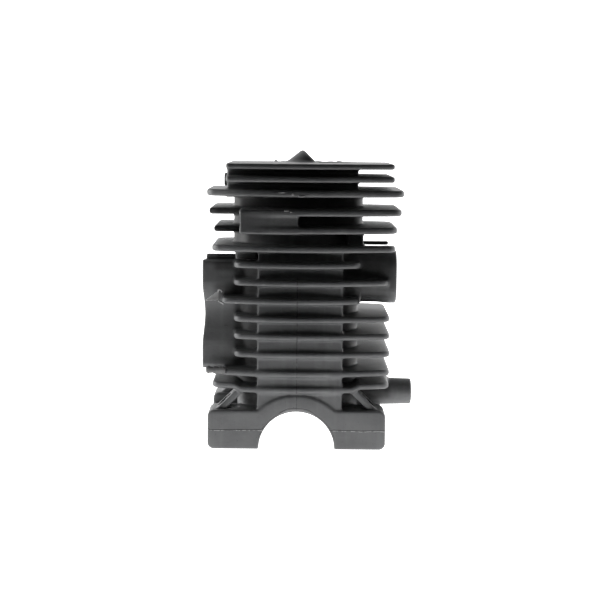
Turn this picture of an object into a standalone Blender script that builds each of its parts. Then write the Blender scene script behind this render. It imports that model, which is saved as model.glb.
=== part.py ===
"""Bare two-stroke cylinder with its head cast in one: casting, bore liner and sealing plug.

Frame: metres, +Z up along the bore, X across the crank axis, Y along the crank axis.
The base plane lies at Z = 0 and carries the crank axis. Sizes below are in millimetres from the
bore axis; the finished bodies are moved along X so that the origin is the middle of the base plane.
"""
import math

import bmesh
import bpy
from mathutils import Vector

MM = 0.001

# Standard parts that meet the casting
BORE_R = 21.25
SEAT_R = 17.5
SCREW_R = 2.75
PLUG_HOLE_R = 5.0
FIT_GAP = 0.3

# Base with the crank seats
BASE_HALF_X = 41.0
BASE_HALF_Y = 31.0
LUG_HEIGHT = 18.2
LUG_INNER_Y = 13.0
LUG_CORNER = 3.0
LUG_EDGE = 0.5
ARCH_WALL = 7.9
ARCH_FOOT_Z = 5.0
SIDE_WALL_HEIGHT = 13.0
SIDE_WALL_HALF_Y = 14.0
SIDE_WALL_INSET = 0.6
CAVITY_R = 28.0
CAVITY_HALF_Y = 17.5
SCREW_EDGE_X = 9.25
SCREW_EDGE_Y = 10.0
SCREW_X = BASE_HALF_X - SCREW_EDGE_X
SCREW_Y = BASE_HALF_Y - SCREW_EDGE_Y

# Liner and the chamber above it
LINER_WALL = 2.2
LINER_BOTTOM = 26.0
CHAMBER_Z = 100.0
CHAMBER_RISE = 11.0
CHAMBER_LIP = 1.0
LINER_TOP = CHAMBER_Z - FIT_GAP
POCKET_R = BORE_R + LINER_WALL + FIT_GAP

# Barrel walls round the liner's pocket
BARREL_LEFT_WALL = 4.45
BARREL_RIGHT_WALL = 4.25
BARREL_NEAR_WALL = 1.75
BARREL_SIDE_Y = 12.0
BARREL_FOOT_Z = 12.0
BARREL_TOP_Z = CHAMBER_Z + 2.0
BARREL_CORNER = 6.0
BORE_FOOT_PAST = 2.0
# Barrel as a plate: x from, x to, middle half depth, side half depth, z from, z to
BARREL_X = (-POCKET_R - BARREL_LEFT_WALL, POCKET_R + BARREL_RIGHT_WALL)
BARREL = (*BARREL_X, POCKET_R + BARREL_NEAR_WALL, BARREL_SIDE_Y, BARREL_FOOT_Z, BARREL_TOP_Z)

# Transfer passages and the covers in front of them, which lean in toward the top
DUCT_X = ((-14.0, -2.5), (2.5, 14.0))
DUCT_DEPTH = 1.65
DUCT_Y = POCKET_R + DUCT_DEPTH
DUCT_Z = (20.5, 77.0)
DUCT_STEP = 1.0
DUCT_MOUTH_IN = 3.0
DUCT_RISE_IN = 1.0
WINDOW_LOW_Z = 66.0
WINDOW_CORNER = 2.0
COVER_FOOT_WALL = 3.2
COVER_TOP_WALL = 1.4
COVER_X = (-18.1, 20.8)
COVER_Z = (14.0, 92.0)
COVER_CORNER = 1.6

# Head bodies: x from, x to, middle half depth, side half depth, z from, z to
HEAD_BODY = (-BORE_R - 8.95, BORE_R + 9.15, BORE_R + 1.75, 17.0, CHAMBER_Z - 8.0, CHAMBER_Z + 17.0)
CROWN_BODY = (-BORE_R - 11.35, BORE_R + 6.15, BORE_R - 0.75, 18.0, CHAMBER_Z + 16.0, CHAMBER_Z + 30.5)
HEAD_CORNER = 8.0
BODY_EDGE = 0.4

# Fins beside the chamber: x from, x to, and z from, z to above the chamber plane
CROWN_FIN_LIP = 0.3
CROWN_LEFT_X = CROWN_BODY[0] - CROWN_FIN_LIP
HEAD_FINS = (
    (CROWN_LEFT_X, 44.0, 28.4, 31.3),
    (CROWN_LEFT_X, 44.1, 22.3, 25.9),
    (-42.2, 48.6, 15.8, 19.4),
    (-41.1, 47.6, 7.3, 10.7),
    (-38.9, 45.7, -0.8, 2.5),
)
# Fins beside the barrel: x from, x to, and z from, z to above the base plane
BARREL_FINS = (
    (-39.6, 44.9, 90.7, 94.0),
    (-29.1, 28.8, 83.3, 86.3),
    (-29.1, 42.0, 75.2, 78.3),
    (-34.6, 28.8, 66.9, 69.9),
    (-29.1, 42.7, 58.6, 61.6),
    (-29.1, 42.8, 50.6, 53.6),
    (-29.0, 43.0, 42.3, 45.3),
    (-34.1, 42.9, 33.4, 36.8),
    (-39.2, 42.7, 25.9, 29.0),
)
FIN_REACH = 3.4
FIN_BOW = 6.0
FIN_MID_Y = DUCT_Y + COVER_FOOT_WALL + FIN_REACH
FIN_SIDE_Y = FIN_MID_Y - FIN_BOW
FIN_CORNER = 3.0
FIN_EDGE = 0.9

# Notch at the near left corner of the fourth and fifth fins
NOTCHED_FINS = (3, 4)
NOTCH_X = (-50.0, -26.2)
NOTCH_Y = (-50.0, -16.0)
NOTCH_Z = (CHAMBER_Z - 4.0, CHAMBER_Z + 13.0)

# Solid pad between the fourth and fifth fins
PAD_INSET = 0.4
PAD_X = (-26.2, -0.1)
PAD_Y = (-FIN_MID_Y + PAD_INSET, -18.0)
PAD_Z = (CHAMBER_Z + 0.5, CHAMBER_Z + 9.0)

# Intake block on the left and its two raised faces
INTAKE_X = (-42.7, -20.0)
INTAKE_FACE_X = -44.3
INTAKE_FACE_SINK = 2.0
INTAKE_HALF_Y = 17.0
INTAKE_Z = (35.2, 86.3)
INTAKE_CORNER = 4.0
INTAKE_UPPER_FOOT_Z = 60.5
INTAKE_LOWER_TOP_Z = 50.5
INTAKE_PORT_Z = (63.0, 81.0)
INTAKE_PORT_HALF_Y = 11.0
SHELF_X = (-42.6, -24.0)
SHELF_HALF_Y = 12.0
SHELF_Z = (85.0, 88.8)
SHELF_CORNER = 0.8

# Exhaust block on the right
EXHAUST_X = (18.0, 45.9)
EXHAUST_HALF_Y = 21.0
EXHAUST_Z = (66.9, 92.2)
EXHAUST_CORNER = 8.0
EXHAUST_EDGE = 0.5
EXHAUST_PORT_Z = (70.5, 86.0)
EXHAUST_PORT_HALF_Y = 12.5
PORT_CORNER = 6.0
PORT_INNER_X = BORE_R - 6.25
FLANGE_SCREW_Y = 16.8
FLANGE_SCREW_R = 2.1
FLANGE_SCREW_DEPTH = 9.0

# Low side tube, which narrows toward its end
TUBE_Z = 23.0
TUBE_Y = -4.0
TUBE_ROOT_X = 20.0
TUBE_END_X = 54.4
TUBE_ROOT_R = 6.8
TUBE_END_R = 6.0
TUBE_EDGE = 0.8
TUBE_BORE_R = 3.2
TUBE_BORE_FROM = BORE_R - 2.25

# Spark-plug boss, leaning 45 degrees toward +X; the apex is the highest corner of its seat
BOSS_APEX = (2.0, CHAMBER_Z + 37.0)
BOSS_R = 9.5
BOSS_LENGTH = 26.0
RECESS_R = BOSS_R + 1.0
RECESS_LENGTH = 30.0
PLUG_HOLE_LENGTH = 42.0
PLUG_HOLE_ABOVE = 10.0

# Struts from the lowest fin to the lugs
STRUT_TOP_X = BARREL_X[1] - 0.6
STRUT_TOP_Z = 27.5
STRUT_FOOT_X = BASE_HALF_X - 5.8
STRUT_SINK = 2.0
STRUT_WIDTH = 4.0
STRUT_Y = (15.0, 28.0)

# Sealing plug in the left side of the crown
SEALER_Y = -10.0
SEALER_Z = CHAMBER_Z + 23.4
SEALER_SEAT_X = CROWN_LEFT_X - FIT_GAP
SEALER_HEAD_DEPTH = 1.2
SEALER_HEAD_EDGE = 0.4
SEALER_SHANK_R = 2.0
SEALER_HEAD_R = SEALER_SHANK_R + 1.05
SEALER_SHANK_LENGTH = 5.2

# How far a cutter runs past what it cuts, in general and above the screw lugs
PAST = 5.0
LUG_PAST = 1.0

# Pieces that curves are made of, and the smallest corner left on a chamfered end
CORNER_STEPS = 5
FIN_CORNER_STEPS = 3
FIN_BOW_STEPS = 8
DOME_STEPS = 7
ROUND_SEGMENTS = 48
BOSS_SEGMENTS = 40
TUBE_SEGMENTS = 40
THREAD_SEGMENTS = 32
HOLE_SEGMENTS = 24
TAPPED_SEGMENTS = 20
LEAST_CORNER = 0.3

# Mesh cleaning, in metres, and the angle in degrees above which an edge stays sharp
WELD = 0.000002
SLIVER = 0.000001
SHARP_ANGLE = 32.0

# Looks of the three bodies: colour, metallic, roughness
CASTING_LOOK = ((0.14, 0.14, 0.145, 1.0), 0.2, 0.55)
LINER_LOOK = ((0.5, 0.5, 0.5, 1.0), 1.0, 0.25)
SEALER_LOOK = ((0.2, 0.2, 0.2, 1.0), 0.8, 0.4)

# Middle of the whole object across X
CENTRE_X = (INTAKE_FACE_X + TUBE_END_X) / 2


def clear_scene():
    """Remove every object that is already there."""
    for item in list(bpy.data.objects):
        bpy.data.objects.remove(item, do_unlink=True)


def body_from_rings(name, rings):
    """Closed body from equal rings of points in millimetres, capped at both ends."""
    mesh = bpy.data.meshes.new(name)
    work = bmesh.new()
    rows = []
    for ring in rings:
        rows.append([work.verts.new(Vector(point) * MM) for point in ring])
    count = len(rows[0])
    for lower, upper in zip(rows, rows[1:]):
        for index in range(count):
            after = (index + 1) % count
            work.faces.new((lower[index], lower[after], upper[after], upper[index]))
    work.faces.new(list(reversed(rows[0])))
    work.faces.new(rows[-1])
    bmesh.ops.recalc_face_normals(work, faces=work.faces)
    work.to_mesh(mesh)
    work.free()
    item = bpy.data.objects.new(name, mesh)
    bpy.context.scene.collection.objects.link(item)
    return item


def place(axis, across, along, height):
    """Point whose first two values lie across the axis and whose third lies along it."""
    if axis == "X":
        return (height, across, along)
    if axis == "Y":
        return (across, height, along)
    return (across, along, height)


def box(name, xs, ys, zs):
    """Plain box."""
    corners = ((xs[0], ys[0]), (xs[1], ys[0]), (xs[1], ys[1]), (xs[0], ys[1]))
    return body_from_rings(name, [[(x, y, z) for x, y in corners] for z in zs])


def rounded_outline(lo, hi, radius):
    """Rectangle between two corners with round corners, counter-clockwise."""
    centres = (
        (hi[0] - radius, hi[1] - radius, 0.0),
        (lo[0] + radius, hi[1] - radius, 90.0),
        (lo[0] + radius, lo[1] + radius, 180.0),
        (hi[0] - radius, lo[1] + radius, 270.0),
    )
    points = []
    for cx, cy, start in centres:
        for step in range(CORNER_STEPS + 1):
            angle = math.radians(start + 90.0 * step / CORNER_STEPS)
            points.append((cx + radius * math.cos(angle), cy + radius * math.sin(angle)))
    return points


def rounded_block(name, axis, lo, hi, ends, radius, edge=0.0):
    """Bar along an axis with round corners; an edge value chamfers both ends."""
    full = rounded_outline(lo, hi, radius)
    small_lo = (lo[0] + edge, lo[1] + edge)
    small_hi = (hi[0] - edge, hi[1] - edge)
    small = rounded_outline(small_lo, small_hi, max(radius - edge, LEAST_CORNER))
    rings = [(full, ends[0]), (full, ends[1])]
    if edge > 0.0:
        rings = [(small, ends[0]), (full, ends[0] + edge), (full, ends[1] - edge), (small, ends[1])]
    return body_from_rings(name, [[place(axis, a, b, at) for a, b in ring] for ring, at in rings])


def turned(name, axis, centre, stations, segments=ROUND_SEGMENTS):
    """Round body along an axis; stations are (place along the axis, radius)."""
    rings = []
    for at, radius in stations:
        ring = []
        for step in range(segments):
            angle = math.tau * (step + 0.5) / segments
            across = centre[0] + radius * math.cos(angle)
            along = centre[1] + radius * math.sin(angle)
            ring.append(place(axis, across, along, at))
        rings.append(ring)
    return body_from_rings(name, rings)


def leaning_cylinder(name, foot, direction, length, radius, segments=BOSS_SEGMENTS):
    """Cylinder from a foot point along a direction in the XZ plane."""
    axis = Vector((direction[0], 0.0, direction[1])).normalized()
    side = Vector((axis.z, 0.0, -axis.x))
    rings = []
    for reach in (0.0, length):
        centre = Vector((foot[0], 0.0, foot[1])) + axis * reach
        ring = []
        for step in range(segments):
            angle = math.tau * step / segments
            ring.append(centre + side * radius * math.cos(angle) + Vector((0, radius * math.sin(angle), 0)))
        rings.append(ring)
    return body_from_rings(name, rings)


def plate_outline(x_from, x_to, mid_y, side_y, corner, inset):
    """Fin outline: straight sides, bowed front and back edges, round corners."""
    low = x_from + inset
    high = x_to - inset
    chain = []
    for end, sign in ((low, 1.0), (high, -1.0)):
        part = []
        for step in range(FIN_CORNER_STEPS + 1):
            angle = math.radians(90.0 * step / FIN_CORNER_STEPS)
            x = end + sign * corner * (1.0 - math.cos(angle))
            drop = corner * (1.0 - math.sin(angle))
            part.append((x, side_y - inset - drop))
        chain.append(part)
    middle = []
    for step in range(1, FIN_BOW_STEPS):
        x = low + corner + (high - low - 2.0 * corner) * step / FIN_BOW_STEPS
        reach = (x / low) if x < 0.0 else (x / high)
        middle.append((x, mid_y - inset - (mid_y - side_y) * reach * reach))
    half = chain[0] + middle + list(reversed(chain[1]))
    near = [(x, -y) for x, y in half]
    far = [(x, y) for x, y in reversed(half)]
    return near + far


def plate(name, x_from, x_to, mid_y, side_y, z_from, z_to, corner, edge):
    """Flat plate with the fin outline and chamfered edges."""
    small = plate_outline(x_from, x_to, mid_y, side_y, corner, edge)
    full = plate_outline(x_from, x_to, mid_y, side_y, corner, 0.0)
    levels = ((small, z_from), (full, z_from + edge), (full, z_to - edge), (small, z_to))
    return body_from_rings(name, [[(x, y, z) for x, y in ring] for ring, z in levels])


def combine(target, others, operation):
    """Exact Boolean of a body with several others, which are then removed."""
    for other in others:
        step = target.modifiers.new("step", "BOOLEAN")
        step.operation = operation
        step.solver = "EXACT"
        step.object = other
        graph = bpy.context.evaluated_depsgraph_get()
        result = bpy.data.meshes.new_from_object(target.evaluated_get(graph))
        target.modifiers.clear()
        old = target.data
        target.data = result
        bpy.data.meshes.remove(old)
        bpy.data.objects.remove(other, do_unlink=True)
    return target


def add_base():
    """Lugs, arches and side walls of the crank-seat base."""
    parts = []
    for side in (-1.0, 1.0):
        ends = sorted((side * LUG_INNER_Y, side * BASE_HALF_Y))
        lo = (-BASE_HALF_X, 0.0)
        hi = (BASE_HALF_X, LUG_HEIGHT)
        parts.append(rounded_block("lugs", "Y", lo, hi, ends, LUG_CORNER, LUG_EDGE))
        arch_r = SEAT_R + ARCH_WALL
        arch = turned("arch", "Y", (0.0, 0.0), [(at, arch_r) for at in ends])
        below = box("below", (-arch_r - PAST, arch_r + PAST), (-BASE_HALF_Y - PAST, BASE_HALF_Y + PAST),
                    (-arch_r - PAST, ARCH_FOOT_Z))
        parts.append(combine(arch, [below], "DIFFERENCE"))
    wall_x = BASE_HALF_X - SIDE_WALL_INSET
    wall_y = SIDE_WALL_HALF_Y
    parts.append(box("walls", (-wall_x, wall_x), (-wall_y, wall_y), (0.0, SIDE_WALL_HEIGHT)))
    return parts


def add_struts():
    """Four leaning struts between the lowest fin and the lugs."""
    parts = []
    foot_z = LUG_HEIGHT - STRUT_SINK
    for side_x in (-1.0, 1.0):
        outline = (
            (side_x * (STRUT_TOP_X - STRUT_WIDTH), STRUT_TOP_Z),
            (side_x * STRUT_TOP_X, STRUT_TOP_Z),
            (side_x * STRUT_FOOT_X, foot_z),
            (side_x * (STRUT_FOOT_X - STRUT_WIDTH), foot_z),
        )
        for side_y in (-1.0, 1.0):
            ends = sorted(side_y * y for y in STRUT_Y)
            parts.append(body_from_rings("strut", [[(x, y, z) for x, z in outline] for y in ends]))
    return parts


def add_covers():
    """Transfer covers on both sides, deepest at the foot."""
    rings = []
    for at, wall in zip(COVER_Z, (COVER_FOOT_WALL, COVER_TOP_WALL)):
        half = DUCT_Y + wall
        outline = rounded_outline((COVER_X[0], -half), (COVER_X[1], half), COVER_CORNER)
        rings.append([(x, y, at) for x, y in outline])
    return body_from_rings("covers", rings)


def add_intake():
    """Intake block with its shelf and two raised faces."""
    lo = (-INTAKE_HALF_Y, INTAKE_Z[0])
    hi = (INTAKE_HALF_Y, INTAKE_Z[1])
    parts = [rounded_block("intake", "X", lo, hi, INTAKE_X, INTAKE_CORNER)]
    for low, high in ((INTAKE_UPPER_FOOT_Z, INTAKE_Z[1]), (INTAKE_Z[0], INTAKE_LOWER_TOP_Z)):
        ends = (INTAKE_FACE_X, INTAKE_X[0] + INTAKE_FACE_SINK)
        parts.append(rounded_block("face", "X", (lo[0], low), (hi[0], high), ends, INTAKE_CORNER))
    shelf_lo = (SHELF_X[0], SHELF_Z[0])
    shelf_hi = (SHELF_X[1], SHELF_Z[1])
    parts.append(rounded_block("shelf", "Y", shelf_lo, shelf_hi, (-SHELF_HALF_Y, SHELF_HALF_Y), SHELF_CORNER))
    return parts


def add_blocks():
    """Barrel, head bodies, covers, port blocks, side tube and pad."""
    parts = [plate("barrel", *BARREL, BARREL_CORNER, BODY_EDGE)]
    for body in (HEAD_BODY, CROWN_BODY):
        parts.append(plate("head", *body, HEAD_CORNER, BODY_EDGE))
    parts.append(add_covers())
    parts.extend(add_intake())
    lo = (-EXHAUST_HALF_Y, EXHAUST_Z[0])
    hi = (EXHAUST_HALF_Y, EXHAUST_Z[1])
    parts.append(rounded_block("exhaust", "X", lo, hi, EXHAUST_X, EXHAUST_CORNER, EXHAUST_EDGE))
    stations = [
        (TUBE_ROOT_X, TUBE_ROOT_R),
        (TUBE_END_X - TUBE_EDGE, TUBE_END_R),
        (TUBE_END_X, TUBE_END_R - TUBE_EDGE),
    ]
    parts.append(turned("tube", "X", (TUBE_Y, TUBE_Z), stations, TUBE_SEGMENTS))
    parts.append(box("pad", PAD_X, PAD_Y, PAD_Z))
    return parts


def add_fins():
    """Cooling fins from the plug end down to the crank end."""
    rows = [(x_from, x_to, CHAMBER_Z + low, CHAMBER_Z + high) for x_from, x_to, low, high in HEAD_FINS]
    rows.extend(BARREL_FINS)
    fins = []
    for index, (x_from, x_to, z_from, z_to) in enumerate(rows):
        fin = plate("fin", x_from, x_to, FIN_MID_Y, FIN_SIDE_Y, z_from, z_to, FIN_CORNER, FIN_EDGE)
        if index in NOTCHED_FINS:
            fin = combine(fin, [box("notch", NOTCH_X, NOTCH_Y, NOTCH_Z)], "DIFFERENCE")
        fins.append(fin)
    return fins


def plug_seat():
    """Centre of the flat seat of the plug boss, from the highest corner of the boss."""
    reach = BOSS_R * math.sqrt(0.5)
    return (BOSS_APEX[0] + reach, BOSS_APEX[1] - reach)


def bore_cuts():
    """Bore with the liner's pocket and the chamber, crank room and crank seats."""
    pocket_foot = LINER_BOTTOM - FIT_GAP
    dome_r = BORE_R - CHAMBER_LIP
    bore = [(BARREL_FOOT_Z - BORE_FOOT_PAST, BORE_R), (pocket_foot, BORE_R), (pocket_foot, POCKET_R),
            (CHAMBER_Z, POCKET_R), (CHAMBER_Z, dome_r)]
    for step in range(1, DOME_STEPS):
        angle = math.radians(90.0 * step / DOME_STEPS)
        bore.append((CHAMBER_Z + CHAMBER_RISE * math.sin(angle), dome_r * math.cos(angle)))
    room_ends = (-CAVITY_HALF_Y, CAVITY_HALF_Y)
    seat_ends = (-BASE_HALF_Y - PAST, BASE_HALF_Y + PAST)
    return [
        turned("bore", "Z", (0.0, 0.0), bore),
        turned("room", "Y", (0.0, 0.0), [(at, CAVITY_R) for at in room_ends]),
        turned("seats", "Y", (0.0, 0.0), [(at, SEAT_R) for at in seat_ends]),
    ]


def transfer_cuts():
    """Transfer passages: each opens into the bore below the liner and runs up behind it."""
    cuts = []
    for side in (-1.0, 1.0):
        for xs in DUCT_X:
            mouth = sorted((side * (BORE_R - DUCT_MOUTH_IN), side * DUCT_Y))
            cuts.append(box("duct", xs, mouth, (DUCT_Z[0], LINER_BOTTOM - FIT_GAP)))
            rise = sorted((side * (BORE_R - DUCT_RISE_IN), side * DUCT_Y))
            cuts.append(box("duct", xs, rise, (DUCT_Z[0] + DUCT_STEP, DUCT_Z[1])))
    return cuts


def port(half_y, levels, ends):
    """Cutter of a gas port along X."""
    return rounded_block("port", "X", (-half_y, levels[0]), (half_y, levels[1]), ends, PORT_CORNER)


def hole_cuts():
    """Ports, screw holes, side tube passage, plug recess and holes."""
    cuts = [
        port(INTAKE_PORT_HALF_Y, INTAKE_PORT_Z, (INTAKE_FACE_X - PAST, -PORT_INNER_X)),
        port(EXHAUST_PORT_HALF_Y, EXHAUST_PORT_Z, (PORT_INNER_X, EXHAUST_X[1] + PAST)),
    ]
    for side in (-1.0, 1.0):
        centre = (side * FLANGE_SCREW_Y, sum(EXHAUST_Z) / 2)
        ends = (EXHAUST_X[1] - FLANGE_SCREW_DEPTH, EXHAUST_X[1] + PAST)
        cuts.append(turned("tapped", "X", centre, [(at, FLANGE_SCREW_R) for at in ends], TAPPED_SEGMENTS))
        for side_y in (-1.0, 1.0):
            centre = (side * SCREW_X, side_y * SCREW_Y)
            ends = (-PAST, LUG_HEIGHT + LUG_PAST)
            cuts.append(turned("screw", "Z", centre, [(at, SCREW_R) for at in ends], HOLE_SEGMENTS))
    tube_ends = (TUBE_BORE_FROM, TUBE_END_X + PAST)
    hollow = [(at, TUBE_BORE_R) for at in tube_ends]
    cuts.append(turned("hollow", "X", (TUBE_Y, TUBE_Z), hollow, HOLE_SEGMENTS))
    seat = plug_seat()
    cuts.append(leaning_cylinder("recess", seat, (1.0, 1.0), RECESS_LENGTH, RECESS_R))
    above = (seat[0] + PLUG_HOLE_ABOVE, seat[1] + PLUG_HOLE_ABOVE)
    inward = (-1.0, -1.0)
    cuts.append(leaning_cylinder("thread", above, inward, PLUG_HOLE_LENGTH, PLUG_HOLE_R, THREAD_SEGMENTS))
    sealer_ends = (SEALER_SEAT_X - PAST, SEALER_SEAT_X + SEALER_SHANK_LENGTH + FIT_GAP)
    hole_r = SEALER_SHANK_R + FIT_GAP
    sealer = [(at, hole_r) for at in sealer_ends]
    cuts.append(turned("sealer_hole", "X", (SEALER_Y, SEALER_Z), sealer, HOLE_SEGMENTS))
    return cuts


def make_casting():
    """The whole aluminium casting as one body."""
    parts = add_blocks()
    body = combine(parts[0], parts[1:] + add_base() + add_struts() + add_fins(), "UNION")
    boss = leaning_cylinder("boss", plug_seat(), (-1.0, -1.0), BOSS_LENGTH, BOSS_R)
    combine(body, [boss], "UNION")
    return combine(body, bore_cuts() + transfer_cuts() + hole_cuts(), "DIFFERENCE")


def make_liner():
    """Running sleeve with exhaust, intake and transfer windows."""
    outer_r = BORE_R + LINER_WALL
    outer = turned("liner", "Z", (0.0, 0.0), [(LINER_BOTTOM, outer_r), (LINER_TOP, outer_r)])
    ends = (LINER_BOTTOM - PAST, LINER_TOP + PAST)
    near, far = outer_r / 2, outer_r + PAST
    cuts = [
        turned("inner", "Z", (0.0, 0.0), [(at, BORE_R) for at in ends]),
        port(INTAKE_PORT_HALF_Y, INTAKE_PORT_Z, (-far, -near)),
        port(EXHAUST_PORT_HALF_Y, EXHAUST_PORT_Z, (near, far)),
    ]
    for side in (-1.0, 1.0):
        for xs in DUCT_X:
            ys = sorted((side * near, side * far))
            lo, hi = (xs[0], WINDOW_LOW_Z), (xs[1], DUCT_Z[1])
            cuts.append(rounded_block("window", "Y", lo, hi, ys, WINDOW_CORNER))
    return combine(outer, cuts, "DIFFERENCE")


def make_sealer():
    """Small plug: flat head outside, shank in its hole."""
    outside = SEALER_SEAT_X - SEALER_HEAD_DEPTH
    stations = [
        (outside, SEALER_HEAD_R - SEALER_HEAD_EDGE),
        (outside + SEALER_HEAD_EDGE, SEALER_HEAD_R),
        (SEALER_SEAT_X, SEALER_HEAD_R),
        (SEALER_SEAT_X, SEALER_SHANK_R),
        (SEALER_SEAT_X + SEALER_SHANK_LENGTH, SEALER_SHANK_R),
    ]
    return turned("sealer", "X", (SEALER_Y, SEALER_Z), stations, HOLE_SEGMENTS)


def finish(item, name, colour, metallic, roughness):
    """Weld, clean and smooth-shade a body and give it its own material."""
    work = bmesh.new()
    work.from_mesh(item.data)
    bmesh.ops.translate(work, verts=work.verts, vec=Vector((-CENTRE_X, 0.0, 0.0)) * MM)
    bmesh.ops.remove_doubles(work, verts=work.verts, dist=WELD)
    bmesh.ops.dissolve_degenerate(work, edges=work.edges, dist=SLIVER)
    bmesh.ops.recalc_face_normals(work, faces=work.faces)
    work.to_mesh(item.data)
    work.free()
    item.name = name
    item.data.name = name
    item.data.shade_smooth()
    item.data.set_sharp_from_angle(angle=math.radians(SHARP_ANGLE))
    item.data.materials.clear()
    material = bpy.data.materials.new(name + "_finish")
    material.use_nodes = True
    shader = material.node_tree.nodes["Principled BSDF"]
    shader.inputs["Base Color"].default_value = colour
    shader.inputs["Metallic"].default_value = metallic
    shader.inputs["Roughness"].default_value = roughness
    item.data.materials.append(material)


def main():
    """Build the three bodies."""
    clear_scene()
    finish(make_casting(), "cylinder_casting", *CASTING_LOOK)
    finish(make_liner(), "bore_liner", *LINER_LOOK)
    finish(make_sealer(), "sealing_plug", *SEALER_LOOK)


main()
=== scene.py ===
"""Finished look of a bare two-stroke cylinder.

A die-cast body with cooling fins, its bore liner and a small plug.

Sizes are in millimetres from the bore axis and the base plane. +X points to the exhaust side,
Y runs along the crank axis, +Z runs up the bore.
"""

import logging
import math
from dataclasses import dataclass, field
from enum import Enum
from typing import Callable, Sequence

import bpy
import numpy as np
from mathutils import Matrix, Vector


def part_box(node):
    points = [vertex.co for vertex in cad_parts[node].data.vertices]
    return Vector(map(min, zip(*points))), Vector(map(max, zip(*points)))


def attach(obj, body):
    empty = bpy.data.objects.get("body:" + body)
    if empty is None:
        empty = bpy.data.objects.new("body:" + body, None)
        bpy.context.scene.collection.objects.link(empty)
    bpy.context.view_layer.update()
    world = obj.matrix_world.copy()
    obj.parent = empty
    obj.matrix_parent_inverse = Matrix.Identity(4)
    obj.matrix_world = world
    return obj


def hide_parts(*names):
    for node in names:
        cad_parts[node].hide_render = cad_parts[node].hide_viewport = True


LOG = logging.getLogger("cylinder")
MM = 0.001
Array = np.ndarray
Field = Callable[[Array, Array, Array], Array]

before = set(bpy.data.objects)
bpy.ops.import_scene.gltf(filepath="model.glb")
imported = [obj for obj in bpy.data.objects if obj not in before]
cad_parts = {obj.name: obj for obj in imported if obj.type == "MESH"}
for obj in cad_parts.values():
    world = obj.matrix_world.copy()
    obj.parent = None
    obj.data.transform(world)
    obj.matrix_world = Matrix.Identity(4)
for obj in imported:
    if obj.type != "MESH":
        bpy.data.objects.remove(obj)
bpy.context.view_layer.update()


class Work(Enum):
    """What a feature does to the metal."""

    ADD = "add"
    CUT = "cut"


# ---------------------------------------------------------------- distance formulas


def round_max(a: Array, b: Array, radius: float) -> Array:
    """Inside of both a and b, with the shared edge rounded.

    The two distances are pushed in by the radius, joined as the length of their positive parts
    plus the larger negative one, and pulled out again by the radius.

    Args:
        a: First signed distance.
        b: Second signed distance.
        radius: Edge radius.

    Returns:
        Signed distance of the common part.
    """
    p, q = a + radius, b + radius
    return np.hypot(np.maximum(p, 0.0), np.maximum(q, 0.0)) + np.minimum(np.maximum(p, q), 0.0) - radius


def smooth_min(a: Array, b: Array, radius: float) -> Array:
    """Smaller of two distances with a fillet where they cross.

    The smaller distance is lowered by h squared times a quarter of the radius, where h falls from
    one to nothing as the two distances part by the radius.

    Args:
        a: First signed distance.
        b: Second signed distance.
        radius: Reach of the fillet.

    Returns:
        Signed distance of the joined shapes.
    """
    if radius <= 0.0:
        return np.minimum(a, b)
    h = np.maximum(radius - np.abs(a - b), 0.0) / radius
    return np.minimum(a, b) - h * h * radius * 0.25


def ramp(x: Array, start: float, end: float) -> Array:
    """Smooth step from 0 at start to 1 at end."""
    t = np.clip((x - start) / (end - start), 0.0, 1.0)
    return t * t * (3.0 - 2.0 * t)


def span(x: Array, low: float, high: float) -> Array:
    """Distance outside the stretch from low to high, negative inside it."""
    return np.maximum(low - x, x - high)


def block(x: Array, y: Array, z: Array, lo: Sequence[float], hi: Sequence[float], radius: float) -> Array:
    """Box between two corners with every edge rounded.

    Args:
        x: Places along X.
        y: Places along Y.
        z: Places along Z.
        lo: Lowest corner.
        hi: Highest corner.
        radius: Edge radius.

    Returns:
        Signed distance.
    """
    flat = round_max(span(x, lo[0], hi[0]), span(y, lo[1], hi[1]), radius)
    return round_max(flat, span(z, lo[2], hi[2]), radius)


def capsule_block(across: Array, up: Array, half: float, low: float, high: float, corner: float) -> Array:
    """Rectangle with round corners in a plane, centred across."""
    return round_max(np.abs(across) - half, span(up, low, high), corner)


@dataclass(frozen=True)
class Feature:
    """One feature of the casting: its distance formula, the box it lies in, its work and its fillet."""

    formula: Field
    lo: tuple[float, float, float]
    hi: tuple[float, float, float]
    work: Work = Work.ADD
    fillet: float = 1.6


# ---------------------------------------------------------------- sub-assemblies of the casting


@dataclass(frozen=True)
class Fin:
    """One cooling fin: its ends, its levels and how far its near edge falls back at either end."""

    left: float
    right: float
    low: float
    high: float
    fall_left: float = 4.5
    fall_right: float = 7.0
    corner: float = 3.4


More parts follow.
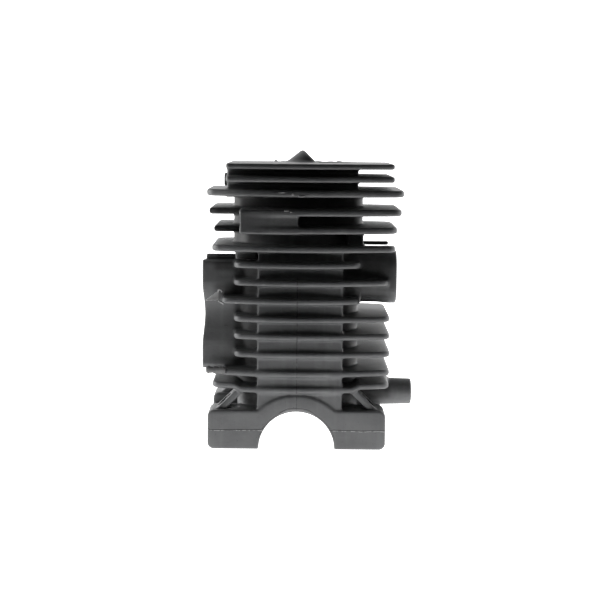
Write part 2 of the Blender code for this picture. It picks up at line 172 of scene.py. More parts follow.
@dataclass
class FinStack:
    """Cooling fins from the plug end down to the crank end."""

    reach: float = 31.9
    taper: float = 0.018
    slim: float = 0.15
    pocket_left: float = -26.2
    short_from: float = 30.6
    short_back: float = -20.0
    pocket_back: float = -16.0
    fins: tuple[Fin, ...] = (
        Fin(-32.9, 44.0, 128.5, 131.3, 3.0, 7.0, 1.4),
        Fin(-32.9, 44.1, 122.6, 125.6, 3.0, 7.0, 1.4),
        Fin(-42.2, 48.6, 115.9, 119.4, 12.0, 7.0),
        Fin(-41.1, 47.6, 107.3, 110.7),
        Fin(-38.9, 45.7, 99.2, 102.5, 4.5, 8.0),
        Fin(-39.6, 44.9, 90.7, 94.0, 9.0, 7.0),
        Fin(-29.1, 28.8, 83.4, 86.3, 4.5, 4.5),
        Fin(-29.1, 42.0, 75.3, 78.2),
        Fin(-34.6, 28.8, 66.9, 69.9, 5.5, 4.0),
        Fin(-29.1, 42.7, 58.6, 61.6),
        Fin(-29.1, 42.8, 50.6, 53.6),
        Fin(-29.0, 43.0, 42.3, 45.3),
        Fin(-34.1, 42.9, 33.5, 36.7, 5.5, 7.0),
        Fin(-39.2, 42.7, 26.0, 29.1, 7.0, 7.0),
    )

    def outline(self, fin: Fin, x: Array, y: Array) -> Array:
        """Plan distance of a fin: straight ends, bowed near and far edges, round corners.

        The half depth is the reach less a fall that grows with the square of the way to the end.
        """
        share = np.where(x < 0.0, x / fin.left, x / fin.right)
        fall = np.where(x < 0.0, fin.fall_left, fin.fall_right) * share * share
        return round_max(span(x, fin.left, fin.right), np.abs(y) - (self.reach - fall), fin.corner)

    def fin_formula(self, index: int, fin: Fin) -> Field:
        """Distance of one fin: the plan outline given a thickness that grows inward, with round edges."""
        middle = (fin.low + fin.high) / 2.0
        half = (fin.high - fin.low) / 2.0 - self.slim
        pocketed = index in (3, 4)
        shortened = index == 5
        stepped = index == len(self.fins) - 1

        def formula(x: Array, y: Array, z: Array) -> Array:
            plan = self.outline(fin, x, y)
            if pocketed:
                notch = round_max(x - self.pocket_left, y - self.pocket_back, 1.0)
                plan = np.maximum(plan, -notch)
            if shortened:
                missing = round_max(self.short_from - x, self.short_back - y, 1.0)
                plan = np.maximum(plan, -missing)
            lift = 1.5 * ramp(np.abs(x), 25.0, 29.5) if stepped else 0.0
            thick = half + self.taper * np.minimum(np.maximum(-plan - 3.0, 0.0), 16.0)
            return round_max(plan, np.abs(z - middle - lift) - thick, half * 0.7)

        return formula

    def features(self) -> list[Feature]:
        """Every fin as a feature."""
        made = []
        for index, fin in enumerate(self.fins):
            lo = (fin.left, -self.reach, fin.low - 0.4)
            hi = (fin.right, self.reach, fin.high + 1.6)
            made.append(Feature(self.fin_formula(index, fin), lo, hi, Work.ADD, 1.3))
        return made


@dataclass
class Barrel:
    """Barrel, head bodies, transfer covers and the pad between two fins.

    The covers fall back toward the top with the square of the height.
    """

    half_width: float = 28.1
    half_depth: float = 25.5
    cover_left: float = -18.2
    cover_right: float = 20.8
    cover_foot: float = 30.0
    cover_lean: float = 5.0

    def features(self) -> list[Feature]:
        """Barrel first, then what is joined to it."""

        def tube(x: Array, y: Array, z: Array) -> Array:
            bulge = self.half_depth - 11.0 * (x / self.half_width) ** 2
            plan = round_max(np.abs(x) - self.half_width, np.abs(y) - bulge, 6.0)
            return np.maximum(plan, span(z, 11.0, 102.0))

        def head(x: Array, y: Array, z: Array) -> Array:
            plan = round_max(span(x, -30.0, 30.3), np.abs(y) - 21.0 + 9.0 * (x / 30.0) ** 2, 5.0)
            return np.maximum(plan, span(z, 92.0, 117.0))

        def crown(x: Array, y: Array, z: Array) -> Array:
            plan = round_max(span(x, -32.6, 27.4), np.abs(y) - 23.0, 1.2)
            return np.maximum(plan, span(z, 116.0, 130.5))

        def covers(x: Array, y: Array, z: Array) -> Array:
            rise = np.clip((z - 14.0) / 78.0, 0.0, 1.0)
            lean = self.cover_foot - self.cover_lean * rise * rise
            plan = round_max(span(x, self.cover_left, self.cover_right), np.abs(y) - lean, 0.9)
            return np.maximum(plan, span(z, 12.5, 93.0))

        def pad(x: Array, y: Array, z: Array) -> Array:
            return block(x, y, z, (-26.3, -31.1, 99.6), (-0.1, -17.0, 110.0), 0.3)

        def web(x: Array, y: Array, z: Array) -> Array:
            return block(x, y, z, (22.5, -22.0, 93.0), (30.2, 4.0, 101.0), 1.2)

        def rib(x: Array, y: Array, z: Array) -> Array:
            return block(x, y, z, (18.0, 17.6, 91.1), (44.1, 19.4, 93.0), 0.7)

        def ledge(x: Array, y: Array, z: Array) -> Array:
            return block(x, y, z, (-28.6, -23.0, 87.2), (-18.6, -12.0, 92.0), 0.8)

        wide, deep = self.half_width, self.half_depth
        return [
            Feature(tube, (-wide, -deep, 11.0), (wide, deep, 102.0), Work.ADD, 1.0),
            Feature(head, (-30.0, -23.0, 92.0), (30.3, 23.0, 117.0), Work.ADD, 0.8),
            Feature(crown, (-32.6, -23.0, 116.0), (27.4, 23.0, 130.5), Work.ADD, 0.8),
            Feature(covers, (-18.2, -30.0, 12.5), (20.8, 30.0, 93.0), Work.ADD, 0.6),
            Feature(pad, (-26.4, -31.9, 99.6), (-0.1, -17.0, 110.0), Work.ADD, 0.15),
            Feature(web, (22.5, -22.0, 93.0), (30.2, 4.0, 101.0), Work.ADD, 1.2),
            Feature(rib, (18.0, 17.6, 91.1), (44.1, 19.4, 93.0), Work.ADD, 0.6),
            Feature(ledge, (-28.6, -23.0, 87.2), (-18.6, -12.0, 92.0), Work.ADD, 0.6),
        ]


@dataclass
class PortBlocks:
    """Intake block on the left, exhaust block on the right, and the low pulse tube."""

    intake_face: float = -44.3
    exhaust_face: float = 45.9
    tube_y: float = -4.0
    tube_z: float = 23.0
    tube_end: float = 54.4
    tube_bore: float = 3.2

    def intake(self, x: Array, y: Array, z: Array) -> Array:
        """Intake block: its half width and its left face swell in two lobes, one above the other.

        The swell is the cosine of the height over the pitch of the lobes; the upper face falls
        evenly toward the far side.
        """
        z = z + 0.11 * np.maximum(y + 14.0, 0.0) * ramp(z, 60.0, 84.0)
        lobe = 0.5 + 0.5 * np.cos((z - 77.0) * math.tau / 32.0)
        lobe = np.where(z > 77.0, 1.0, np.where(z < 45.0, 1.0, lobe))
        face = self.intake_face + 1.1 * (1.0 - lobe)
        plan = capsule_block(y, z, 17.0, 35.2, 86.3, 2.5) + 2.6 * (1.0 - lobe) * ramp(np.abs(y), 5.0, 12.0)
        return round_max(plan, span(x, face, -15.0), 0.5)

    def exhaust(self, x: Array, y: Array, z: Array) -> Array:
        """Exhaust block: a bar with round corners, a little fuller at its flange."""
        swell = 0.5 * ramp(x, 36.0, 43.0)
        plan = capsule_block(y, z, 20.5, 66.9, 90.8, 8.0) - swell
        return round_max(plan, span(x, 12.0, self.exhaust_face), 0.8)

    def tube(self, x: Array, y: Array, z: Array) -> Array:
        """Pulse tube: a rod that narrows evenly toward its end."""
        radius = 6.55 - 0.5 * (x - 36.0) / (self.tube_end - 36.0)
        around = np.hypot(y - self.tube_y, z - self.tube_z) - radius
        return round_max(around, span(x, 14.0, self.tube_end), 0.8)

    def features(self) -> list[Feature]:
        """Blocks, tube and the passages through them."""

        def shelf(x: Array, y: Array, z: Array) -> Array:
            return block(x, y, z, (-42.6, -14.0, 83.0), (-20.0, -11.0, 88.8), 0.6)

        def intake_duct(x: Array, y: Array, z: Array) -> Array:
            return np.maximum(capsule_block(y, z, 11.0, 63.0, 81.0, 6.0), span(x, -60.0, -15.0))

        def exhaust_duct(x: Array, y: Array, z: Array) -> Array:
            return np.maximum(capsule_block(y, z, 12.5, 70.5, 86.0, 6.0), span(x, 15.0, 60.0))

        def pulse(x: Array, y: Array, z: Array) -> Array:
            around = np.hypot(y - self.tube_y, z - self.tube_z) - self.tube_bore
            return np.maximum(around, span(x, 19.0, 70.0))

        def flange_holes(x: Array, y: Array, z: Array) -> Array:
            around = np.hypot(np.abs(y) - 16.8, z - 79.4) - 2.1
            return np.maximum(around, span(x, self.exhaust_face - 9.0, 60.0))

        return [
            Feature(self.intake, (-44.3, -17.0, 35.2), (-15.0, 17.0, 86.3), Work.ADD, 1.6),
            Feature(shelf, (-42.6, -14.0, 83.0), (-20.0, -11.0, 88.8), Work.ADD, 0.5),
            Feature(self.exhaust, (12.0, -21.0, 66.4), (45.9, 21.0, 92.4), Work.ADD, 1.8),
            Feature(self.tube, (14.0, -12.0, 15.0), (54.4, 4.0, 31.0), Work.ADD, 2.0),
            Feature(intake_duct, (-60.0, -11.0, 63.0), (-15.0, 11.0, 81.0), Work.CUT, 0.0),
            Feature(exhaust_duct, (15.0, -12.5, 70.5), (60.0, 12.5, 86.0), Work.CUT, 0.0),
            Feature(pulse, (19.0, -8.0, 19.0), (70.0, 0.0, 27.0), Work.CUT, 0.0),
            Feature(flange_holes, (36.0, -19.5, 77.0), (60.0, 19.5, 82.0), Work.CUT, 0.0),
        ]


@dataclass
class CrankBase:
    """Lugs with half-moon seats at both ends, side walls, struts and screw holes."""

    half_x: float = 41.0
    outer_y: float = 31.0
    inner_y: float = 13.0
    height: float = 18.2
    corner: float = 2.9
    arch_radius: float = 25.3
    seat_radius: float = 17.5
    room_radius: float = 28.0
    room_half: float = 17.5

    def lugs(self, x: Array, y: Array, z: Array) -> Array:
        """Pair of bars across X with an arch on each, all outer edges rounded.

        The front view is the bar with round corners joined to a disc about the crank axis.
        """
        bar = round_max(np.abs(x) - self.half_x, span(z, 0.0, self.height), self.corner)
        disc = np.maximum(np.hypot(x, z) - self.arch_radius, 4.0 - z)
        view = smooth_min(bar, disc, 1.0)
        return round_max(view, span(np.abs(y), self.inner_y, self.outer_y), 1.0)

    def features(self) -> list[Feature]:
        """Metal first, then the crank room, the seats and the screw holes."""

        def walls(x: Array, y: Array, z: Array) -> Array:
            return block(x, y, z, (-40.4, -15.0, 0.0), (40.4, 15.0, 13.0), 0.8)

        def struts(x: Array, y: Array, z: Array) -> Array:
            lean = np.abs(x) - (31.0 - (z - 22.0) * 1.04)
            body = round_max(np.abs(lean * 0.69) - 1.5, span(np.abs(y), 15.0, 27.6), 0.5)
            return np.maximum(body, span(z, 16.0, 28.0))

        def room(x: Array, y: Array, z: Array) -> Array:
            return np.maximum(np.hypot(x, z) - self.room_radius, np.abs(y) - self.room_half)

        def seats(x: Array, y: Array, z: Array) -> Array:
            lip = 0.9 * ramp(np.abs(y), self.outer_y - 0.9, self.outer_y)
            return np.maximum(np.hypot(x, z) - self.seat_radius - lip * 0.5, np.abs(y) - 40.0)

        def screws(x: Array, y: Array, z: Array) -> Array:
            around = np.hypot(np.abs(x) - 31.75, np.abs(y) - 21.0)
            spot = np.maximum(around - 4.6, self.height - 0.7 - z)
            return np.minimum(np.maximum(around - 2.75, span(z, -9.0, 24.0)), np.maximum(spot, z - 22.0))

        side, deep, tall = self.half_x, self.outer_y, self.arch_radius
        return [
            Feature(self.lugs, (-side, -deep, 0.0), (side, deep, tall), Work.ADD, 0.8),
            Feature(walls, (-40.4, -15.0, 0.0), (40.4, 15.0, 13.0), Work.ADD, 1.2),
            Feature(struts, (-37.0, -28.0, 16.0), (37.0, 28.0, 28.0), Work.ADD, 0.7),
            Feature(screws, (-37.0, -26.0, -5.0), (37.0, 26.0, 22.0), Work.CUT, 0.0),
            Feature(room, (-28.0, -17.5, -5.0), (28.0, 17.5, 28.0), Work.CUT, 0.0),
            Feature(seats, (-19.0, -40.0, -5.0), (19.0, 40.0, 19.0), Work.CUT, 0.0),
        ]


@dataclass
class PlugBoss:
    """Spark-plug boss that leans toward the exhaust side, with its recess and hole.

    The boss grows evenly toward its root, as the draft of the die needs.
    """

    corner_x: float = 2.0
    corner_z: float = 137.6
    radius: float = 9.5
    draft: float = 0.12
    recess: float = 10.5
    hole: float = 5.0

    def turned(self, x: Array, y: Array, z: Array) -> tuple[Array, Array]:
        """Place along the leaning axis above the seat, and distance from that axis."""
        reach = self.radius * math.sqrt(0.5)
        dx, dz = x - (self.corner_x + reach), z - (self.corner_z - reach)
        along = (dx + dz) * math.sqrt(0.5)
        across = (dx - dz) * math.sqrt(0.5)
        return along, np.hypot(across, y)

    def features(self) -> list[Feature]:
        """Boss, recess and hole."""

        def boss(x: Array, y: Array, z: Array) -> Array:
            along, around = self.turned(x, y, z)
            swell = self.draft * np.maximum(-along, 0.0)
            return round_max(around - self.radius - swell, span(along, -20.0, 0.0), 1.5)

        def recess(x: Array, y: Array, z: Array) -> Array:
            along, around = self.turned(x, y, z)
            return np.maximum(around - self.recess, span(along, 0.0, 34.0))

        def hole(x: Array, y: Array, z: Array) -> Array:
            along, around = self.turned(x, y, z)
            return np.maximum(around - self.hole, span(along, -32.0, 6.0))

        return [
            Feature(boss, (-8.0, -9.5, 112.0), (18.0, 9.5, 137.0), Work.ADD, 1.6),
            Feature(recess, (2.0, -10.5, 122.0), (40.0, 10.5, 150.0), Work.CUT, 0.0),
            Feature(hole, (-18.0, -5.0, 103.0), (18.0, 5.0, 138.0), Work.CUT, 0.0),
        ]


@dataclass
class BoreCuts:
    """Seat of the liner, the chamber above it, the transfer passages and the hole of the small plug."""

    bore: float = 21.25
    liner_outer: float = 23.75
    liner_low: float = 25.7
    chamber: float = 100.0

    def features(self) -> list[Feature]:
        """The hollow middle of the casting."""

        def bore(x: Array, y: Array, z: Array) -> Array:
            around = np.hypot(x, y)
            shaft = np.maximum(around - self.bore, span(z, 8.0, 98.0))
            liner = np.maximum(around - self.liner_outer, span(z, self.liner_low, self.chamber))
            dome = np.sqrt(around**2 + ((z - self.chamber) * 1.84) ** 2) - (self.bore - 1.0)
            dome = np.maximum(dome * 0.6, self.chamber - 1.0 - z)
            return np.minimum(np.minimum(shaft, liner), dome)

        def transfers(x: Array, y: Array, z: Array) -> Array:
            return block(np.abs(x), np.abs(y), z, (2.5, 18.3, 20.5), (14.0, 26.4, 77.0), 1.0)

        def plug_hole(x: Array, y: Array, z: Array) -> Array:
            return np.maximum(np.hypot(y + 10.0, z - 123.4) - 2.3, span(x, -45.0, -27.7))

        return [
            Feature(transfers, (-14.0, -26.4, 20.5), (14.0, 26.4, 77.0), Work.CUT, 0.0),
            Feature(bore, (-23.8, -23.8, 8.0), (23.8, 23.8, 112.0), Work.CUT, 0.0),
            Feature(plug_hole, (-45.0, -13.0, 120.0), (-27.7, -7.0, 127.0), Work.CUT, 0.0),
        ]


# ---------------------------------------------------------------- meshing


@dataclass
class CastingMesher:
    """Turns the features into one closed skin.

    The casting has a fillet at every joint of a few hundred edges, which no single grid or carried
    profile can give, so its skin is the zero level of a distance field: each grid cell that the
    level crosses gets one point at the mean of its edge crossings, and each grid edge that the
    level crosses gets one four-sided face.
    """

    step: float
    margin: float = 5.0
    lo: tuple[float, float, float] = (-46.5, -34.0, -2.0)
    hi: tuple[float, float, float] = (56.5, 34.0, 139.0)
    keep: float = 0.33

    def axes(self) -> list[Array]:
        """Grid places along the three axes."""
        return [np.arange(a, b, self.step) for a, b in zip(self.lo, self.hi)]

    def distances(self, features: Sequence[Feature]) -> Array:
        """Signed distance of the whole casting at each grid point."""
        axes = self.axes()
        total = np.full([len(a) for a in axes], 9.0, np.float32)
        for item in features:
            starts = [int(np.searchsorted(a, v - self.margin)) for a, v in zip(axes, item.lo)]
            ends = [int(np.searchsorted(a, v + self.margin)) for a, v in zip(axes, item.hi)]
            window = tuple(slice(s, e) for s, e in zip(starts, ends))
            x = axes[0][window[0]][:, None, None]
            y = axes[1][window[1]][None, :, None]
            z = axes[2][window[2]][None, None, :]
            value = np.broadcast_to(item.formula(x, y, z), total[window].shape).astype(np.float32)
            if item.work is Work.ADD:
                total[window] = smooth_min(total[window], value, item.fillet)
            else:
                total[window] = np.maximum(total[window], -value)
        return total

    def skin(self, total: Array) -> tuple[Array, Array]:
        """Points and four-sided faces of the zero level.

        Args:
            total: Signed distances on the grid.

        Returns:
            Points in millimetres, and faces as rows of four point numbers.
        """
        inside = total < 0.0
        shape = [n - 1 for n in total.shape]
        corners = [(i, j, k) for i in (0, 1) for j in (0, 1) for k in (0, 1)]
        count = np.zeros(shape, np.int8)
        for i, j, k in corners:
            count += inside[i:i + shape[0], j:j + shape[1], k:k + shape[2]]
        cells = np.argwhere((count > 0) & (count < 8))
        number = np.full(shape, -1, np.int32)
        number[tuple(cells.T)] = np.arange(len(cells))
        value = {c: total[tuple((cells + c).T)] for c in corners}
        place = np.zeros((len(cells), 3))
        hits = np.zeros(len(cells))
        for a in corners:
            for axis in range(3):
                if a[axis]:
                    continue
                b = tuple(1 if n == axis else v for n, v in enumerate(a))
                crossed = (value[a] < 0.0) != (value[b] < 0.0)
                share = np.where(crossed, value[a] / np.where(crossed, value[a] - value[b], 1.0), 0.0)
                point = np.array(a, float)[None, :] + share[:, None] * (np.array(b) - np.array(a))[None, :]
                place += np.where(crossed[:, None], point, 0.0)
                hits += crossed
        points = np.array(self.lo) + (cells + place / hits[:, None]) * self.step
        faces = [self.faces_along(inside, number, axis) for axis in range(3)]
        return points, np.concatenate(faces)

    def faces_along(self, inside: Array, number: Array, axis: int) -> Array:
        """Faces that cross the grid edges of one axis, wound so that they look out of the metal."""
        first = np.moveaxis(inside, axis, 0)
        cells = np.moveaxis(number, axis, 0)
        change = first[:-1, 1:-1, 1:-1] != first[1:, 1:-1, 1:-1]
        n, b, c = np.nonzero(change)
        quad = np.stack((cells[n, b, c], cells[n, b + 1, c], cells[n, b + 1, c + 1], cells[n, b, c + 1]), 1)
        outward = first[n, b + 1, c + 1]
        if axis == 1:
            outward = ~outward
        quad[~outward] = quad[~outward][:, ::-1]
        return quad


def mesh_object(
    name: str, points: Array, faces: Sequence | Array, shift: Vector, smooth: float = 34.0
) -> bpy.types.Object:
    """Object from points in millimetres, with its place in its mesh.

    Args:
        name: Name of the piece.
        points: Rows of x, y, z.
        faces: Rows of point numbers.
        shift: Move from the bore axis to the row's origin, in metres.
        smooth: Edges sharper than this, in degrees, stay sharp.

    Returns:
        The new object, riding on the fixed body.
    """
    mesh = bpy.data.meshes.new(name)
    placed = points * MM + np.array(shift)
    mesh.from_pydata(placed.tolist(), [], [list(map(int, f)) for f in faces])
    mesh.validate()
    mesh.shade_smooth()
    mesh.set_sharp_from_angle(angle=math.radians(smooth))
    made = bpy.data.objects.new(name, mesh)
    bpy.context.scene.collection.objects.link(made)
    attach(made, "root")
    return made


def thin_out(made: bpy.types.Object, share: float) -> None:
    """Drop the points that lie in flat areas, down to a share of the faces."""
    cut = made.modifiers.new("thin", "DECIMATE")
    cut.ratio = share
    graph = bpy.context.evaluated_depsgraph_get()
    light = bpy.data.meshes.new_from_object(made.evaluated_get(graph))
    made.modifiers.clear()
    heavy = made.data
    made.data = light
    bpy.data.meshes.remove(heavy)
    light.shade_smooth()
    light.set_sharp_from_angle(angle=math.radians(50.0))


# ---------------------------------------------------------------- shader maths


@dataclass
class Wire:
    """A node's output, with operators that add Math nodes."""

    graph: "Graph"
    socket: bpy.types.NodeSocket

    def math(self, kind: str, other: "Wire | float", turned: bool = False) -> "Wire":
        """Math node between this value and another."""
        pair = (other, self) if turned else (self, other)
        return self.graph.node("ShaderNodeMath", {"operation": kind}, {0: pair[0], 1: pair[1]})

    def __add__(self, other: "Wire | float") -> "Wire":
        """Sum."""
        return self.math("ADD", other)

    def __sub__(self, other: "Wire | float") -> "Wire":
        """Difference."""
        return self.math("SUBTRACT", other)

    def __mul__(self, other: "Wire | float") -> "Wire":
        """Product."""
        return self.math("MULTIPLY", other)

    def __rsub__(self, other: float) -> "Wire":
        """Number less this value."""
        return self.math("SUBTRACT", other, True)

    __radd__ = __add__
    __rmul__ = __mul__

    def between(self, low: float, high: float) -> "Wire":
        """0 below low, 1 above high, smooth between them."""
        settings = {"interpolation_type": "SMOOTHSTEP"}
        return self.graph.node("ShaderNodeMapRange", settings, {0: self, 1: low, 2: high})


class Graph:
    """Node tree of one material."""

    def __init__(self, name: str) -> None:
        """Start with a Principled shader and object coordinates."""
        self.material = bpy.data.materials.new(name)
        self.material.use_nodes = True
        self.tree = self.material.node_tree
        self.shader = self.tree.nodes["Principled BSDF"]
        place = self.tree.nodes.new("ShaderNodeTexCoord")
        self.place = Wire(self, place.outputs["Object"])

    def node(self, kind: str, settings: dict, values: dict, output: int | str = 0) -> Wire:
        """Add a node.

        Args:
            kind: Node type.
            settings: Properties set before the sockets.
            values: Socket name or number to a link or a constant.
            output: Output that is handed on.

        Returns:
            The output as a wire.
        """
        made = self.tree.nodes.new(kind)
        for key, value in settings.items():
            setattr(made, key, value)
        for key, value in values.items():
            if isinstance(value, Wire):
                self.tree.links.new(value.socket, made.inputs[key])
            else:
                made.inputs[key].default_value = value
        return Wire(self, made.outputs[output])

    def noise(self, scale: float, detail: float, rough: float = 0.55, place: Wire | None = None) -> Wire:
        """Noise value on the object coordinates."""
        values = {"Vector": place or self.place, "Scale": scale, "Detail": detail, "Roughness": rough}
        return self.node("ShaderNodeTexNoise", {}, values)

    def mix(self, share: Wire | float, low: tuple | Wire, high: tuple | Wire) -> Wire:
        """Colour mix."""
        made = self.tree.nodes.new("ShaderNodeMix")
        made.data_type = "RGBA"
        for socket, value in ((made.inputs[0], share), (made.inputs[6], low), (made.inputs[7], high)):
            if isinstance(value, Wire):
                self.tree.links.new(value.socket, socket)
            else:
                socket.default_value = value
        return Wire(self, made.outputs[2])

    def feed(self, socket: str, value: Wire | float | tuple) -> None:
        """Link or set a socket of the shader."""
        if isinstance(value, Wire):
            self.tree.links.new(value.socket, self.shader.inputs[socket])
        else:
            self.shader.inputs[socket].default_value = value

    def bump(self, height: Wire, distance: float, strength: float = 1.0) -> None:
        """Height in units of distance metres, as a bump on the shader's normal."""
        values = {"Height": height, "Distance": distance, "Strength": strength}
        self.feed("Normal", self.node("ShaderNodeBump", {}, values))


def grey(value: float, tint: float = 0.0) -> tuple[float, float, float, float]:
    """Grey with a little blue."""
    return (value * (1.0 - tint), value, value * (1.0 + tint), 1.0)


def split_normal(g: Graph) -> Wire:
    """1 on faces that look up or down, 0 on upright faces."""
    shape = g.tree.nodes.new("ShaderNodeNewGeometry")
    parts = g.tree.nodes.new("ShaderNodeSeparateXYZ")
    g.tree.links.new(shape.outputs["True Normal"], parts.inputs[0])
    return Wire(g, parts.outputs[2]).math("ABSOLUTE", 0.0).between(0.5, 0.8)


@dataclass(frozen=True)
class CastingFinish:
    """Blasted die-cast aluminium under a thin dark coat: grain, stains, rubbed edges, die lines.

    Upright faces set deep between the fins, and two bands of the intake block's face, get painted shade:
    darker colour for the shadow that falls there. A painted highlight runs just under the joint line near the
    base.
    """

    dark: float = 0.105
    light: float = 0.14
    # Tone of rubbed edges and chips; half as much again gives the painted highlight under the joint line.
    wear_and_glint_tone: float = 0.24
    rough: float = 0.5
    # Depths at which the painted shade between the fins fades out.
    painted_shade_depths: tuple[float, float] = (0.018, 0.0245)

    def make(self, shift: Vector) -> bpy.types.Material:
        """Build the material.

        Args:
            shift: Move from the bore axis to the row's origin, in metres.

        Returns:
            The finished material.
        """
        g = Graph("dark_cast_aluminium")
        axes = g.tree.nodes.new("ShaderNodeSeparateXYZ")
        g.tree.links.new(g.place.socket, axes.inputs[0])
        x, y, z = (Wire(g, axes.outputs[n]) for n in range(3))
        cloud = g.noise(45.0, 4.0)
        grain = g.noise(2400.0, 2.0, 0.6)
        pores = g.noise(700.0, 3.0, 0.65)
        tall = g.node("ShaderNodeMapping", {}, {"Vector": g.place, "Scale": (1.0, 1.0, 0.12)})
        runs = g.noise(190.0, 3.0, 0.6, tall)
        wobble = (g.noise(260.0, 3.0) - 0.5) * 0.0006
        near = y.between(-0.026, -0.027)
        upright = (x - shift.x + wobble * 0.4).math("ABSOLUTE", 0.0)
        patchy = g.noise(330.0, 2.0).between(0.36, 0.52)
        seam = (1.0 - upright.between(0.00011, 0.00034)) * near * (1.0 - z.between(0.078, 0.082)) * patchy
        drift = z - 0.0093 + wobble * 2.2
        foot = 1.0 - z.between(0.012, 0.013)
        joint = (1.0 - drift.math("ABSOLUTE", 0.0).between(0.0001, 0.0003)) * foot
        # Painted highlight: a light, patchy line half a millimetre under the joint line.
        painted_glint = (1.0 - (drift + 0.0005).math("ABSOLUTE", 0.0).between(0.0001, 0.0003)) * foot
        painted_glint = painted_glint * g.noise(520.0, 3.0).between(0.44, 0.54)
        across = (x - shift.x).math("ABSOLUTE", 0.0)
        radial = ((x - shift.x) * (x - shift.x) + z * z).math("SQRT", 0.0)
        front = y.between(-0.0302, -0.0308) * z.between(0.004, 0.007)
        rim = radial - 0.0183 - 0.0011 * (1.0 - across.between(0.004, 0.0105)) + wobble * 1.5
        ring = (1.0 - rim.math("ABSOLUTE", 0.0).between(0.0001, 0.00042)) * front
        chipped = (1.0 - rim.between(-0.0002, 0.0)) * front * (1.0 - across.between(0.008, 0.011))
        depth = y.math("ABSOLUTE", 0.0)
        flat = split_normal(g)
        # Painted shade: upright faces set deep behind the fin edges (less than 18 to 24.5 mm from the middle
        # plane), right of the intake block, left of the exhaust block and above the base, are darkened for
        # the shadow between the fins.
        painted_recess_shade = (
            (1.0 - depth.between(self.painted_shade_depths[0], self.painted_shade_depths[1])) * x.between(-0.036, -0.033) * (1.0 - flat)
        )
        painted_recess_shade = painted_recess_shade * (1.0 - x.between(0.0375, 0.0405)) * z.between(0.019, 0.022)
        # Painted shade: two height bands on the intake block's near face, upright faces only, are darkened
        # for the shadow around the fin ends.
        levels = z.between(0.080, 0.083) + (1.0 - z.between(0.0735, 0.0765)) * z.between(0.066, 0.069)
        painted_block_shade = x.between(-0.0455, -0.0415) * (1.0 - x.between(-0.034, -0.032)) * levels * (1.0 - flat)
        painted_block_shade = painted_block_shade * (1.0 - depth.between(0.0178, 0.0186))
        base = g.mix(cloud.between(0.35, 0.68), grey(self.dark, 0.02), grey(self.light, 0.015))
        base = g.mix(runs.between(0.5, 0.72) * 0.35, base, grey(self.light * 1.25, 0.01))
        rubbed = g.node("ShaderNodeNewGeometry", {}, {}, "Pointiness").between(0.515, 0.60)
        base = g.mix(rubbed * (0.35 + 0.5 * cloud), base, grey(self.wear_and_glint_tone, 0.0))
        base = g.mix(pores.between(0.66, 0.74) * 0.5, base, grey(self.dark * 0.5))
        base = g.mix(chipped * 0.5, base, grey(self.wear_and_glint_tone))
        base = g.mix((seam + joint + ring).math("MINIMUM", 1.0) * 0.65, base, grey(self.dark * 0.35))
        # Painted highlight under the joint line.
        base = g.mix(painted_glint * 0.8, base, grey(self.wear_and_glint_tone * 1.5))
        # Painted shade deep between the fins.
        base = g.mix(painted_recess_shade * 0.7, base, grey(self.dark * 0.3))
        # Painted shade on the intake block's face.
        base = g.mix(painted_block_shade * 0.75, base, grey(self.dark * 0.3))
        g.feed("Base Color", base)
        g.feed("Metallic", 0.25)
        g.feed("Roughness", self.rough + 0.14 * (cloud - 0.5) + 0.10 * (grain - 0.5))
        height = (
            grain * 0.35 + pores * 0.6 + g.noise(120.0, 3.0) * 1.2
            - seam * 1.4 - joint * 1.6 - ring * 1.2 - chipped * 1.5
        )
        g.bump(height, 0.00011, 0.9)
        return g.material


@dataclass(frozen=True)
class LinerFinish:
    """Honed sleeve: crossed fine scratches on bright iron, with darker stains."""

    tone: float = 0.42

    def make(self) -> bpy.types.Material:
        """Build the material."""
        g = Graph("honed_liner")
        marks = []
        for turn in (0.6, -0.6):
            values = {"Vector": g.place, "Rotation": (turn, turn, 0.0), "Scale": (1.0, 1.0, 14.0)}
            marks.append(g.noise(900.0, 2.0, 0.5, g.node("ShaderNodeMapping", {}, values)))
        cross = marks[0] * marks[1] * 4.0
        stain = g.noise(60.0, 4.0)
        g.feed("Base Color", g.mix(stain.between(0.4, 0.7), grey(self.tone), grey(self.tone * 0.6)))
        g.feed("Metallic", 1.0)
        g.feed("Roughness", 0.28 + 0.14 * cross)
        g.bump(cross, 0.00002, 0.8)
        return g.material


@dataclass(frozen=True)
class PlainMetalFinish:
    """Plain metal with faint stains and grain, for the small plug and the broken flash."""

    name: str
    tone: float
    rough: float
    metallic: float

    def make(self) -> bpy.types.Material:
        """Build the material."""
        g = Graph(self.name)
        stain = g.noise(300.0, 4.0)
        fine = g.noise(2600.0, 2.0)
        g.feed("Base Color", g.mix(stain.between(0.35, 0.7), grey(self.tone), grey(self.tone * 0.7)))
        g.feed("Metallic", self.metallic)
        g.feed("Roughness", self.rough + 0.15 * (stain - 0.5))
        g.bump(fine + stain, 0.00006, 0.8)
        return g.material


# ---------------------------------------------------------------- thin flash left by the die


